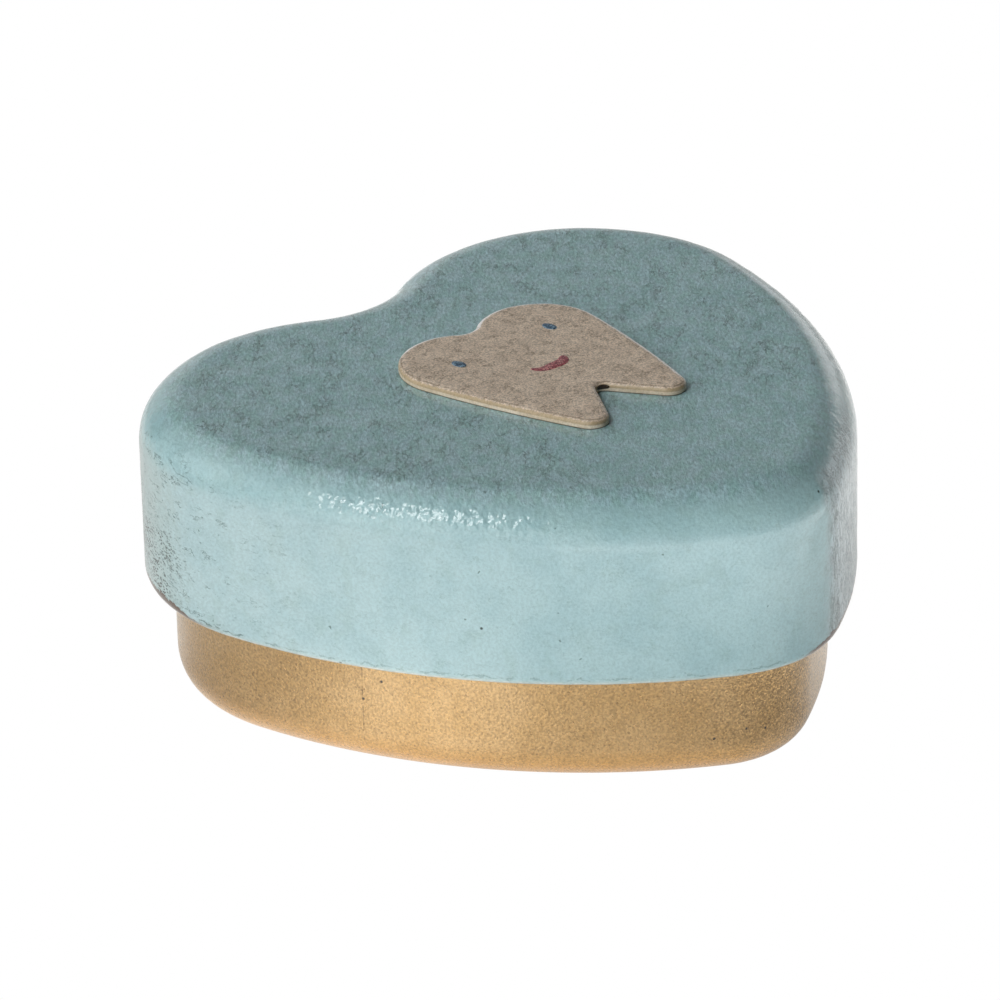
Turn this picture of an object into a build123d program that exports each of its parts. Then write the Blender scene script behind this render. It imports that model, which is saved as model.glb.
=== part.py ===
from build123d import *
import os
from math import acos, atan2, cos, degrees, hypot, radians, sin, sqrt

# Heart-shaped wooden keepsake box for milk teeth, closed, standing on its base.
# +Z is up and Z = 0 is the underside. The tip of the heart points along -Y and its two
# lobes lie towards +Y. X = 0 is the mirror plane, and the origin is below the middle of
# the heart's box. All lengths are in millimetres and all angles are in degrees.

# Outline of the lid, which is the largest heart: two lobes, a rounded cleft between them,
# two long sides and a rounded tip, all tangent arcs.
heart_width = 60.0
heart_length = 56.1
lobe_radius = 16.8
cleft_radius = 8.7
side_radius = 52.0
tip_radius = 11.0

# Lid: a cap routed from one block. Its skirt drops over the rim of the base.
lid_height = 15.9
lid_top_round = 3.9
lid_edge_round = 1.2
recess_depth = 11.4
skirt_wall = 2.1
skirt_lead_in = 0.4

# Base: a cup routed from one block. Its lower band shows below the lid.
band_height = 10.1
side_clearance = 0.3
base_wall = 2.6
base_floor = 3.0
foot_round = 3.7
cavity_round = 1.5
rim_chamfer = 0.5

# Tooth-shaped plaque, glued on the lid by hand, a little to the right and a little turned.
plaque_thickness = 0.8
plaque_edge_round = 0.4
plaque_length = 21.6
plaque_right = 0.5
plaque_back = 1.65
plaque_turn = 1.0
crown_radius = 5.3
crown_spacing = 8.7
dip_radius = 1.8
flank_radius = 90.0
root_radius = 1.5
root_spacing = 8.8
crotch_radius = 0.7
crotch_depth = 5.0

# Paint marks on the plaque.
paint_thickness = 0.08
eye_width = 0.95
eye_length = 1.45
eye_spacing = 10.3
eye_above_middle = 5.15
smile_width = 3.6
smile_above_middle = 0.4
smile_sag = 1.6
smile_upper_sag = 0.4

# Overrun by which a cutting solid passes the face that it opens.
overrun = 1.0

# Heights worked out from the sizes above.
lid_bottom = band_height
lid_top = lid_bottom + lid_height
rim_top = lid_bottom + recess_depth

# Insets from the lid's outline.
recess_inset = skirt_wall
base_inset = skirt_wall + side_clearance
cavity_inset = base_inset + base_wall


def far_centre(first, first_radius, second, second_radius, big_radius):
    """Centre of the big circle that holds two circles inside it and touches both.

    It lies on the left of the line from the second centre up to the first, so that the
    big arc bulges to the right.
    """
    reach_first = big_radius - first_radius
    reach_second = big_radius - second_radius
    along_x = first[0] - second[0]
    along_y = first[1] - second[1]
    apart = hypot(along_x, along_y)
    along = (reach_second**2 - reach_first**2 + apart**2) / (2 * apart)
    aside = sqrt(reach_second**2 - along**2)
    return (
        second[0] + (along * along_x - aside * along_y) / apart,
        second[1] + (along * along_y + aside * along_x) / apart,
    )


def heading(start, end):
    """Direction in degrees from one point to another."""
    return degrees(atan2(end[1] - start[1], end[0] - start[0]))


def heart_outline(inset):
    """Closed line of six tangent arcs, the lid's outline moved inwards by the inset."""
    lobe = (heart_width / 2 - lobe_radius, heart_length / 2 - lobe_radius)
    tip = (0, tip_radius - heart_length / 2)
    cleft = (0, lobe[1] + sqrt((lobe_radius + cleft_radius) ** 2 - lobe[0] ** 2))
    far = far_centre(lobe, lobe_radius, tip, tip_radius, side_radius)
    cleft_end = heading(cleft, lobe)
    lobe_start = heading(far, lobe)
    lobe_end = heading(lobe, cleft)
    side_start = heading(far, tip)
    with BuildLine() as line:
        CenterArc(cleft, cleft_radius + inset, -180 - cleft_end, 2 * cleft_end + 180)
        CenterArc(tip, tip_radius - inset, -180 - side_start, 2 * side_start + 180)
        right_lobe = CenterArc(lobe, lobe_radius - inset, lobe_start, lobe_end - lobe_start)
        right_side = CenterArc(far, side_radius - inset, side_start, lobe_start - side_start)
        mirror([right_lobe, right_side], about=Plane.YZ)
    return line


def tooth_outline():
    """Closed line of a molar: two crown cusps with a dip, two flanks and two roots."""
    top = plaque_length / 2
    crown = (crown_spacing / 2, top - crown_radius)
    dip = (0, crown[1] + sqrt((crown_radius + dip_radius) ** 2 - crown[0] ** 2))
    root = (root_spacing / 2, root_radius - top)
    crotch = (0, crotch_depth - top - crotch_radius)
    far = far_centre(crown, crown_radius, root, root_radius, flank_radius)
    dip_end = heading(dip, crown)
    crown_start = heading(far, crown)
    crown_end = heading(crown, dip)
    flank_start = heading(far, root)
    spread = hypot(root[0] - crotch[0], root[1] - crotch[1])
    inner_side = heading(crotch, root) + degrees(acos((crotch_radius + root_radius) / spread))
    with BuildLine() as line:
        CenterArc(dip, dip_radius, -180 - dip_end, 2 * dip_end + 180)
        CenterArc(crotch, crotch_radius, inner_side, 180 - 2 * inner_side)
        right_crown = CenterArc(crown, crown_radius, crown_start, crown_end - crown_start)
        right_flank = CenterArc(far, flank_radius, flank_start, crown_start - flank_start)
        right_root = CenterArc(root, root_radius, inner_side - 180, flank_start - inner_side + 180)
        right_inner = Line(
            (crotch[0] + crotch_radius * cos(radians(inner_side)),
             crotch[1] + crotch_radius * sin(radians(inner_side))),
            (root[0] - root_radius * cos(radians(inner_side)),
             root[1] - root_radius * sin(radians(inner_side))),
        )
        mirror([right_crown, right_flank, right_root, right_inner], about=Plane.YZ)
    return line


os.makedirs("parts", exist_ok=True)

# Base: the gold cup. The foot is rounded outside, the cavity has a coved floor, and the
# rim reaches up to the lid's ceiling, which rests on it.
with BuildPart() as base:
    with BuildSketch(Plane.XY):
        add(heart_outline(base_inset))
        make_face()
    extrude(amount=rim_top)
    fillet(base.faces().sort_by(Axis.Z)[0].edges(), foot_round)
    chamfer(base.faces().sort_by(Axis.Z)[-1].edges(), rim_chamfer)
    with BuildSketch(Plane.XY.offset(base_floor)):
        add(heart_outline(cavity_inset))
        make_face()
    extrude(amount=rim_top - base_floor + overrun, mode=Mode.SUBTRACT)
    cavity_floor = base.faces().filter_by(Axis.Z).sort_by(Axis.Z)[1]
    fillet(cavity_floor.edges(), cavity_round)
base.part.label = "base"
export_step(base.part, "parts/base.step")

# Lid: the azure cap. It is rounded over along the top and eased along the lower edge, and
# the mouth of the skirt has a small lead-in.
with BuildPart() as lid:
    with BuildSketch(Plane.XY.offset(lid_bottom)):
        add(heart_outline(0))
        make_face()
    extrude(amount=lid_height)
    fillet(lid.faces().sort_by(Axis.Z)[-1].edges(), lid_top_round)
    fillet(lid.faces().sort_by(Axis.Z)[0].edges(), lid_edge_round)
    with BuildSketch(Plane.XY.offset(rim_top)):
        add(heart_outline(recess_inset))
        make_face()
    extrude(amount=-recess_depth - overrun, mode=Mode.SUBTRACT)
    mouth = lid.faces().filter_by(Axis.Z).sort_by(Axis.Z)[0]
    chamfer(mouth.inner_wires()[0].edges(), skirt_lead_in)
lid.part.label = "lid"
export_step(lid.part, "parts/lid.step")

# The plaque and its paint share one drawing plane, shifted and turned as it was glued.
plaque_plane = Plane(
    origin=(plaque_right, plaque_back, lid_top),
    x_dir=(cos(radians(plaque_turn)), sin(radians(plaque_turn)), 0),
    z_dir=(0, 0, 1),
)
paint_plane = plaque_plane.offset(plaque_thickness)

# Plaque: a thin tooth cut from sheet, with its upper edge sanded round.
with BuildPart() as tooth_plaque:
    with BuildSketch(plaque_plane):
        add(tooth_outline())
        make_face()
    extrude(amount=plaque_thickness)
    fillet(tooth_plaque.faces().sort_by(Axis.Z)[-1].edges(), plaque_edge_round)
tooth_plaque.part.label = "tooth_plaque"
export_step(tooth_plaque.part, "parts/tooth_plaque.step")

# Eyes: two upright oval dots of thick paint.
for side, name in ((-1, "left_eye"), (1, "right_eye")):
    with BuildPart() as eye:
        with BuildSketch(paint_plane):
            with Locations((side * eye_spacing / 2, eye_above_middle)):
                Ellipse(eye_width / 2, eye_length / 2)
        extrude(amount=paint_thickness)
    eye.part.label = name
    export_step(eye.part, f"parts/{name}.step")

# Smile: a crescent of thick paint between two arcs that meet at the corners of the mouth.
with BuildPart() as smile:
    with BuildSketch(paint_plane):
        with BuildLine():
            ThreePointArc(
                (-smile_width / 2, smile_above_middle),
                (0, smile_above_middle - smile_sag),
                (smile_width / 2, smile_above_middle),
            )
            ThreePointArc(
                (-smile_width / 2, smile_above_middle),
                (0, smile_above_middle - smile_upper_sag),
                (smile_width / 2, smile_above_middle),
            )
        make_face()
    extrude(amount=paint_thickness)
smile.part.label = "smile"
export_step(smile.part, "parts/smile.step")
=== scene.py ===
from math import atan2, cos, hypot, pi, radians, sin, sqrt

import bpy
import numpy as np
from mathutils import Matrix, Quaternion, Vector


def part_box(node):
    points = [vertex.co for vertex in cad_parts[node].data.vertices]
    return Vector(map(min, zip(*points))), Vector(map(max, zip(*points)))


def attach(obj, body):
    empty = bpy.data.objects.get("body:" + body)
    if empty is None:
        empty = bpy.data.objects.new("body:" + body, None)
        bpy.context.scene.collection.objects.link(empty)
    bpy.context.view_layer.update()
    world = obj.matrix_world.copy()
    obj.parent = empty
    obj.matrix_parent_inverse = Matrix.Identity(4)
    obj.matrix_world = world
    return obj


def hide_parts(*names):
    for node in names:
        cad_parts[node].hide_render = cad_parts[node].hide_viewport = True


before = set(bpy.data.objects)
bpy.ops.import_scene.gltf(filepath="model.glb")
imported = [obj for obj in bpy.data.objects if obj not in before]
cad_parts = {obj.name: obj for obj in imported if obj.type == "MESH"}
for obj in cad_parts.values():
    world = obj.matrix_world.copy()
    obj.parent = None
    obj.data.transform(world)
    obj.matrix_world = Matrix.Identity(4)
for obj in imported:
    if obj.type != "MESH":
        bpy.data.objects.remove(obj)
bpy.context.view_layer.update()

# Base: a heart-shaped cup routed from one block of pale wood, with a rounded foot. It is
# sprayed with gold bronze paint outside and over the rim, and left bare inside.
MM = 0.001

lobe_radius = 16.8 * MM
cleft_radius = 8.7 * MM
side_radius = 52.0 * MM
tip_radius = 11.0 * MM
heart_low, heart_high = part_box("lid")


def far_centre(upper, upper_radius, lower, lower_radius, radius):
    """Centre, on the left, of the big circle that two circles touch from inside.

    It lies as far from each of their centres as the big radius is larger than theirs.
    """
    reach_upper = radius - upper_radius
    reach_lower = radius - lower_radius
    apart = hypot(upper[0] - lower[0], upper[1] - lower[1])
    along = (reach_lower**2 - reach_upper**2 + apart**2) / (2 * apart)
    aside = sqrt(reach_lower**2 - along**2)
    slope = atan2(upper[1] - lower[1], upper[0] - lower[0])
    return (
        lower[0] + along * cos(slope) - aside * sin(slope),
        lower[1] + along * sin(slope) + aside * cos(slope),
    )


def heart_path(count):
    """Points at even steps along the lid's outline, and the outward direction at each.

    The outline is six tangent arcs, run anticlockwise from the left of the tip. A point is
    its arc's centre plus the radius along the heading. In the cleft, which is hollow and is
    run clockwise, outward is back towards the centre.
    """
    lobe = (heart_high.x - lobe_radius, heart_high.y - lobe_radius)
    tip = (0.0, heart_low.y + tip_radius)
    cleft = (0.0, lobe[1] + sqrt((lobe_radius + cleft_radius) ** 2 - lobe[0] ** 2))
    far = far_centre(lobe, lobe_radius, tip, tip_radius, side_radius)
    side_start = atan2(tip[1] - far[1], tip[0] - far[0])
    lobe_start = atan2(lobe[1] - far[1], lobe[0] - far[0])
    lobe_end = atan2(cleft[1] - lobe[1], cleft[0] - lobe[0])
    arcs = [
        (tip, tip_radius, -pi - side_start, 2 * side_start + pi),
        (far, side_radius, side_start, lobe_start - side_start),
        (lobe, lobe_radius, lobe_start, lobe_end - lobe_start),
        (cleft, cleft_radius, lobe_end - pi, pi - 2 * lobe_end),
        ((-lobe[0], lobe[1]), lobe_radius, pi - lobe_end, lobe_end - lobe_start),
        ((-far[0], far[1]), side_radius, pi - lobe_start, lobe_start - side_start),
    ]
    return path_of_arcs(arcs, count)


def path_of_arcs(arcs, count):
    """Even steps along a closed chain of arcs, each a centre, a radius, a start and a sweep."""
    centre = np.array([arc[0] for arc in arcs])
    radius, start, sweep = np.array([arc[1:] for arc in arcs]).T
    length = np.abs(radius * sweep)
    end = np.cumsum(length)
    step = (np.arange(count) + 0.5) / count * end[-1]
    arc = np.minimum(np.searchsorted(end, step), len(arcs) - 1)
    heading = start[arc] + sweep[arc] * (step - end[arc] + length[arc]) / length[arc]
    direction = np.stack([np.cos(heading), np.sin(heading)], axis=1)
    point = centre[arc] + radius[arc, None] * direction
    return point, direction * np.sign(sweep[arc])[:, None]


def run(start, end, steps):
    """Rows of a profile in even steps from one (inset, height, shrink) to another."""
    share = np.linspace(0, 1, steps + 1)[1:, None]
    return np.array(start) + share * (np.array(end) - np.array(start))


def bend(inset, height, radius, begin, sweep, steps):
    """Rows along a rounded edge: an arc about a centre at that inset and height, in degrees.

    An angle of 0 points outwards and 90 points up.
    """
    angle = np.radians(begin + sweep * np.linspace(0, 1, steps + 1)[1:])
    return np.stack(
        [inset - radius * np.cos(angle), height + radius * np.sin(angle), 0 * angle], axis=1
    )


def carry(path, profile, middle=(0.0, 0.0)):
    """Carries a profile round a closed path and gives a grid of places, row by row.

    A place is the path's point, moved inwards by the row's inset, then drawn towards the
    middle by the row's shrink, at the row's height. Shrink 1 would be the middle itself.
    """
    point, outward = path
    inset, height, shrink = profile.T
    ring = point[None] - inset[:, None, None] * outward[None] - np.array(middle)
    ring = ring * (1 - shrink)[:, None, None] + np.array(middle)
    level = np.broadcast_to(height[:, None, None], ring.shape[:2] + (1,))
    return np.concatenate([ring, level], axis=2)


def facing(grid):
    """Unit directions out of a grid surface: the cross product of its two sets of steps."""
    down_rows = np.gradient(grid, axis=0)
    round_path = np.roll(grid, -1, axis=1) - np.roll(grid, 1, axis=1)
    normal = np.cross(down_rows, round_path)
    return normal / np.maximum(np.linalg.norm(normal, axis=2, keepdims=True), 1e-12)


def lumps(place, width, seed):
    """Smooth random heights from about -1 to 1, with lumps about as wide as the width.

    A cube lattice of seeded random numbers, one width apart, blended along each axis with
    the smooth step 3 t^2 - 2 t^3.
    """
    size = 64
    lattice = np.random.default_rng(seed).uniform(-1, 1, (size, size, size))
    spot = place / width
    cell = np.floor(spot).astype(int)
    part = spot - cell
    part = part * part * (3 - 2 * part)
    height = np.zeros(place.shape[:-1])
    for corner in np.ndindex(2, 2, 2):
        weight = np.where(corner, part, 1 - part).prod(axis=-1)
        x, y, z = np.moveaxis((cell + corner) % size, -1, 0)
        height += weight * lattice[x, y, z]
    return height


def close_grid(name, grid, first, last):
    """A closed mesh from a grid of rings: quads between rings, and a fan to a pole at each end."""
    rows, count = grid.shape[:2]
    place = np.vstack([grid.reshape(-1, 3), first, last])
    row, step = np.meshgrid(np.arange(rows - 1), np.arange(count), indexing="ij")
    beside = (step + 1) % count
    above, below = row * count, (row + 1) * count
    corners = [above + step, below + step, below + beside, above + beside]
    quads = np.stack(corners, axis=-1).reshape(-1, 4)
    step = np.arange(count)
    beside = (step + 1) % count
    top = np.stack([np.full(count, rows * count), step, beside], axis=1)
    start = (rows - 1) * count
    bottom = np.stack([np.full(count, rows * count + 1), start + beside, start + step], axis=1)
    mesh = bpy.data.meshes.new(name)
    mesh.from_pydata(place, [], quads.tolist() + top.tolist() + bottom.tolist())
    mesh.shade_smooth()
    mesh.set_sharp_from_angle(angle=radians(40))
    piece = bpy.data.objects.new(name, mesh)
    bpy.context.collection.objects.link(piece)
    return piece


def linear(hex_colour):
    """An sRGB hex colour as linear red, green, blue and alpha."""
    value = np.array([int(hex_colour[i:i + 2], 16) for i in (1, 3, 5)]) / 255
    value = np.where(value <= 0.04045, value / 12.92, ((value + 0.055) / 1.055) ** 2.4)
    return (*value.tolist(), 1.0)


def add_node(tree, kind, *values, **named):
    """Adds a node of a kind, with its settings and links.

    Values without a name go to the sockets in use, in their order. One with a name goes to
    the socket of that name, or else it is a setting. A node, or an output of one, is linked,
    and a node stands for its first output in use.
    """
    node = tree.nodes.new("ShaderNode" + kind)
    sockets = {socket.name.lower().replace(" ", "_"): socket for socket in node.inputs}
    for name in [name for name in named if name not in sockets]:
        setattr(node, name, named.pop(name))
    in_use = [socket for socket in node.inputs if socket.enabled]
    by_name = [(sockets[name], value) for name, value in named.items()]
    for socket, value in [*zip(in_use, values), *by_name]:
        if isinstance(value, bpy.types.Node):
            value = next(output for output in value.outputs if output.enabled)
        if isinstance(value, bpy.types.NodeSocket):
            tree.links.new(value, socket)
        else:
            socket.default_value = value
    return node


def new_material(name):
    """A new material, its empty node tree, and the coordinates to start from."""
    material = bpy.data.materials.new(name)
    material.use_nodes = True
    tree = material.node_tree
    tree.nodes.clear()
    place = add_node(tree, "TexCoord").outputs
    return material, tree, place


# Settings that many nodes share.
smooth = {"interpolation_type": "SMOOTHSTEP"}
in_colour = {"data_type": "RGBA"}


def patches_of(tree, where, width, start, end, low=0.0, high=1.0, **noise):
    """Soft patches about as wide as the width: low where a noise is under the start, high
    where it is over the end."""
    cloudy = add_node(tree, "TexNoise", where, scale=1 / width, **noise)
    return add_node(tree, "MapRange", cloudy, start, end, low, high, **smooth)


def away_from(tree, value, level):
    """How far a value is from a level, either way."""
    past = add_node(tree, "Math", value, level, operation="SUBTRACT")
    return add_node(tree, "Math", past, operation="ABSOLUTE")


def by_distance(tree, where, middle, near, far, inside=1.0, outside=0.0):
    """A round spot: the inside value nearer its middle than near, the outside one past far."""
    distance = add_node(tree, "VectorMath", where, middle, operation="DISTANCE")
    return add_node(tree, "MapRange", distance, near, far, inside, outside, **smooth)


# Gold bronze paint: bronze powder in acrylic, sprayed in one coat on sanded wood. Its flakes lie
# unevenly, so it glitters softly, and more coarsely towards the right. A few pinholes and a
# hairline check show the wood, and the coat is thin over the rim.
gold_light = linear("#C4A170")
gold_deep = linear("#BD9966")
gold_pit = linear("#3A2A16")
# Painted reflection: low on the base the gold is tinted warmer, like the warm light bounced up
# from under the box.
foot_reflection_tint = (1.09, 1.00, 0.68, 1.0)
flake_width = 0.15 * MM     # real flakes are 0.03 mm, drawn coarser so that they show
flake_tilt = 0.11
fleck_width = 0.17 * MM     # clumps of flakes, drawn coarser too
grit_width = 0.21 * MM
gold_relief = 0.080 * MM
gold_patch = 3.5 * MM
pin_spacing = 7.5 * MM
pin_places = [
    (-23.98 * MM, -2.15 * MM, 6.48 * MM),
    (-23.30 * MM, -3.62 * MM, 8.28 * MM),
    (-3.43 * MM, -24.93 * MM, 4.50 * MM),
    (-5.72 * MM, -23.61 * MM, 3.96 * MM),
    (-1.82 * MM, -25.46 * MM, 4.18 * MM),
]
check_place = -2.08 * MM
check_width = 0.07 * MM
check_wander = 0.25 * MM

gold_paint, tree, place = new_material("gold_bronze_paint_on_wood")
where = place["Object"]
spot = add_node(tree, "SeparateXYZ", where).outputs
flakes = add_node(tree, "TexVoronoi", where, scale=1 / flake_width).outputs["Color"]
flake_tone = add_node(tree, "SeparateColor", flakes).outputs
grit = add_node(tree, "TexNoise", where, scale=1 / grit_width, detail=1.0)
coarser = add_node(tree, "MapRange", spot[0], -12 * MM, 3 * MM, **smooth)
patches = patches_of(tree, where, gold_patch, 0.35, 0.68, detail=3.0)
gold_colour = add_node(tree, "Mix", patches, gold_light, gold_deep, **in_colour)
gold_tints = [
    # the share and the tint of the grit, flecks, flakes on edge, flat flakes and the foot, whose
    # warmer tint is a painted reflection
    (1.0, add_node(tree, "MapRange", grit, 0.30, 0.70, 0.82, 1.14, **smooth)),
    (coarser, patches_of(tree, where, fleck_width, 0.40, 0.60, 0.60, 1.15, roughness=0.6)),
    (1.0, add_node(tree, "MapRange", flake_tone[2], 0.02, 0.09, 0.72, **smooth)),
    (coarser, add_node(tree, "MapRange", flake_tone[0], 0.1, 0.9, 0.84, 1.18, **smooth)),
    (add_node(tree, "MapRange", spot[2], 3.6 * MM, 1.2 * MM, **smooth), foot_reflection_tint),
]
for share, tint in gold_tints:
    gold_colour = add_node(
        tree, "Mix", share, gold_colour, tint, **in_colour, blend_type="MULTIPLY"
    )

pin_cells = add_node(tree, "TexVoronoi", where, scale=1 / pin_spacing).outputs["Distance"]
pits = add_node(tree, "MapRange", pin_cells, 0.012, 0.022, 1.0, 0.0, **smooth)
for pin_place in pin_places:
    pinhole = by_distance(tree, where, pin_place, 0.06 * MM, 0.14 * MM)
    pits = add_node(tree, "Math", pits, pinhole, operation="MAXIMUM")
wobble = add_node(tree, "TexNoise", where, scale=1 / (1.6 * MM))
wobble = add_node(tree, "Math", wobble, 0.5, operation="SUBTRACT")
off_check = add_node(tree, "Math", wobble, check_wander, spot[1], operation="MULTIPLY_ADD")
off_check = away_from(tree, off_check, check_place)
hairline = add_node(
    tree, "MapRange", off_check, 0.2 * check_width, check_width, 0.30, 0.0, **smooth
)
check_shares = [
    add_node(tree, "MapRange", spot[0], -22 * MM, -23 * MM, **smooth),
    patches_of(tree, where, 0.7 * MM, 0.40, 0.55),
]
for share in check_shares:
    hairline = add_node(tree, "Math", hairline, share, operation="MULTIPLY")
pits = add_node(tree, "Math", pits, hairline, operation="MAXIMUM")
gold_colour = add_node(tree, "Mix", pits, gold_colour, gold_pit, **in_colour)

grit_share = add_node(tree, "MapRange", spot[2], 1.0 * MM, 4.0 * MM, 0.45, **smooth)
grit_height = add_node(tree, "Math", grit, grit_share, operation="MULTIPLY")
grit_height = add_node(tree, "Math", grit_height, pits, operation="SUBTRACT")
ripples = add_node(tree, "Bump", distance=gold_relief, height=grit_height)
flake_lean = add_node(tree, "VectorMath", flakes, (0.5, 0.5, 0.5), operation="SUBTRACT")
tilted = add_node(
    tree, "VectorMath", flake_lean, [flake_tilt] * 3, ripples, operation="MULTIPLY_ADD"
)
tilted = add_node(tree, "VectorMath", tilted, operation="NORMALIZE")
rim_coat = add_node(tree, "MapRange", spot[2], 20.0 * MM, 20.9 * MM, 1.0, 0.3, **smooth)
pit_coat = add_node(tree, "MapRange", pits, 0.2, 0.8, 1.0, 0.0, **smooth)
shader = add_node(
    tree, "BsdfPrincipled", base_color=gold_colour,
    metallic=add_node(tree, "Math", rim_coat, pit_coat, operation="MULTIPLY"),
    roughness=add_node(tree, "MapRange", flake_tone[1], 0.0, 1.0, 0.27, 0.38, **smooth),
    normal=tilted, coat_weight=1.0, coat_roughness=0.3,
)
add_node(tree, "OutputMaterial", surface=shader)

# Bare wood: a pale close-grained wood, routed and lightly sanded, with the grain along X. It
# is matt, with faint rings, fine fibres and small dark pores.
wood_pale = linear("#DCC39A")
wood_dark = linear("#C19C69")
wood_pore = linear("#8A6538")
grain_stretch = 9.0
ring_width = 1.44 * MM
fibre_width = 0.315 * MM
wood_pore_width = 0.252 * MM    # real pores are 0.05 mm, drawn coarser so that they show
fibre_relief = 0.03 * MM

bare_wood, tree, place = new_material("routed_bare_wood")
along_grain = add_node(tree, "Mapping", place["Object"], scale=(1 / grain_stretch, 1.0, 1.0))
rings = patches_of(tree, along_grain, ring_width, 0.38, 0.66, 0.0, 0.7, detail=3.0)
fibres = add_node(
    tree, "TexNoise", along_grain, scale=1 / fibre_width, detail=3.0, roughness=0.6
)
dark_fibres = add_node(tree, "MapRange", fibres, 0.25, 0.8, 0.0, 0.45, **smooth)
fine_pores = patches_of(tree, along_grain, wood_pore_width, 0.66, 0.74, 0.0, 0.6, detail=1.0)
wood_colour = wood_pale
for share, colour in ((rings, wood_dark), (dark_fibres, wood_dark), (fine_pores, wood_pore)):
    wood_colour = add_node(tree, "Mix", share, wood_colour, colour, **in_colour)
wood_height = add_node(tree, "Math", fibres, fine_pores, operation="SUBTRACT")
shader = add_node(
    tree, "BsdfPrincipled", base_color=wood_colour, ior=1.5,
    roughness=add_node(tree, "MapRange", fibres, 0.2, 0.8, 0.62, 0.80, **smooth),
    normal=add_node(tree, "Bump", distance=fibre_relief, height=wood_height),
)
add_node(tree, "OutputMaterial", surface=shader)

base_low, base_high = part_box("base")
base_inset = base_low.x - heart_low.x
base_wall = 2.6 * MM
base_floor = 3.0 * MM
foot_round = 3.7 * MM
cavity_round = 1.5 * MM
rim_chamfer = 0.5 * MM
cavity_inset = base_inset + base_wall
floor_inset = cavity_inset + cavity_round
rim_height = base_high.z
rim_start = rim_height - rim_chamfer
base_steps = 560
floor_rows, cove_rows, cavity_rows, chamfer_rows, rim_rows = 14, 8, 24, 2, 4
band_rows, foot_rows, under_rows = 44, 16, 16
base_unevenness = 0.022 * MM

base_profile = np.vstack([
    run((floor_inset, base_floor, 1), (floor_inset, base_floor, 0), floor_rows),
    bend(floor_inset, base_floor + cavity_round, cavity_round, -90, 90, cove_rows),
    run((cavity_inset, base_floor + cavity_round, 0), (cavity_inset, rim_start, 0), cavity_rows),
    run((cavity_inset, rim_start, 0), (cavity_inset - rim_chamfer, rim_height, 0), chamfer_rows),
    run(
        (cavity_inset - rim_chamfer, rim_height, 0),
        (base_inset + rim_chamfer, rim_height, 0), rim_rows,
    ),
    run((base_inset + rim_chamfer, rim_height, 0), (base_inset, rim_start, 0), chamfer_rows),
    run((base_inset, rim_start, 0), (base_inset, foot_round, 0), band_rows),
    bend(base_inset + foot_round, foot_round, foot_round, 0, -90, foot_rows),
    run((base_inset + foot_round, 0, 0), (base_inset + foot_round, 0, 1), under_rows)[:-1],
])
bare_rows = floor_rows + cove_rows + cavity_rows
base_grid = carry(heart_path(base_steps), base_profile)
base_share = np.clip((base_profile[:, 1] - 0.4 * MM) / (1.5 * MM), 0, 1)
base_share[:bare_rows + 2 * chamfer_rows + rim_rows] = 0
base_lumps = base_unevenness * lumps(base_grid, 3.0 * MM, 11)
base_grid += facing(base_grid) * (base_lumps * base_share[:, None])[..., None]
base_cup = close_grid("base_cup", base_grid, (0, 0, base_floor), (0, 0, 0))
for material in (gold_paint, bare_wood):
    base_cup.data.materials.append(material)
base_quads = base_steps * (len(base_profile) - 1)
which = np.zeros(len(base_cup.data.polygons), dtype=np.int32)
which[:base_steps * bare_rows] = 1
which[base_quads:base_quads + base_steps] = 1
base_cup.data.polygons.foreach_set("material_index", which)
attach(base_cup, "base")
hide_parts("base")

# Lid: a cap routed from one block of the same wood, rounded over along its top. It is painted
# with azure chalk paint, which has crackled, and its skirt drops over the rim of the base.

# Azure chalk paint: matt and chalky under a satin wax. It looks soft and clouded on top, smooth
# on the walls and dry at both ends, with fine dark cracks. Its right end is paler, partly dry
# paint and partly a painted grazing reflection. The top carries a painted shade tint, the walls
# facing the front a painted light tint, and the eased lower edge a painted highlight.
azure_light = linear("#AFC8CB")
azure_deep = linear("#A7C2C6")
azure_thin = linear("#8FA69C")
azure_mark = linear("#7C938C")
azure_crack = linear("#4E6660")
azure_pore = linear("#24322C")
azure_worn = linear("#A9BDB9")
azure_chalky_and_sheen = linear("#C8CCD3")
azure_streak = linear("#65747A")
azure_rim_highlight = linear("#D2DCDA")
bare_edge = linear("#5A4434")
front_light_painted_tint = (0.90, 0.99, 1.01, 1.0)
top_shade_painted_tint = (0.89, 1.00, 1.00, 1.0)
cloud_dark = (0.89, 0.95, 0.91, 1.0)
cloud_light = (1.06, 1.03, 1.06, 1.0)
end_grain_way = radians(150)
raised_grain_way = radians(47)
rubbed_right = (8 * MM, -25 * MM, 10.1 * MM)
most_curled = (-23.2 * MM, -7.2 * MM, 24.4 * MM)

azure_paint, tree, place = new_material("crackled_azure_chalk_paint")
where = place["Object"]
spot = add_node(tree, "SeparateXYZ", where).outputs
turned = add_node(tree, "SeparateXYZ", place["Normal"]).outputs
upward = add_node(tree, "MapRange", turned[2], 0.70, 0.97, **smooth)
above_edge = add_node(tree, "Math", spot[2], heart_low.z, operation="SUBTRACT")


def facing_share(way, start, end, out=place["Normal"]):
    """Share by which a direction out of the lid agrees with a level one, given in radians.

    Their dot product, brought to 0 up to the start and to 1 from the end on. A noise makes
    the border ragged.
    """
    ragged = 0.16
    noise = add_node(tree, "TexNoise", where, scale=1 / (1.0 * MM), detail=3.0, roughness=0.6)
    agreed = add_node(tree, "VectorMath", out, (cos(way), sin(way), 0), operation="DOT_PRODUCT")
    agreed = add_node(tree, "Math", noise, ragged, agreed, operation="MULTIPLY_ADD")
    return add_node(tree, "MapRange", agreed, start + ragged / 2, end + ragged / 2, **smooth)


def hairlines(tree, where, width, full, faint, strength=1.0, **noise):
    """Thin wandering lines about a width apart, where a noise crosses its middle value."""
    wavy = add_node(tree, "TexNoise", where, scale=1 / width, **noise)
    off_line = away_from(tree, wavy, 0.5)
    return add_node(tree, "MapRange", off_line, full, faint, strength, 0.0, **smooth)


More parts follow.
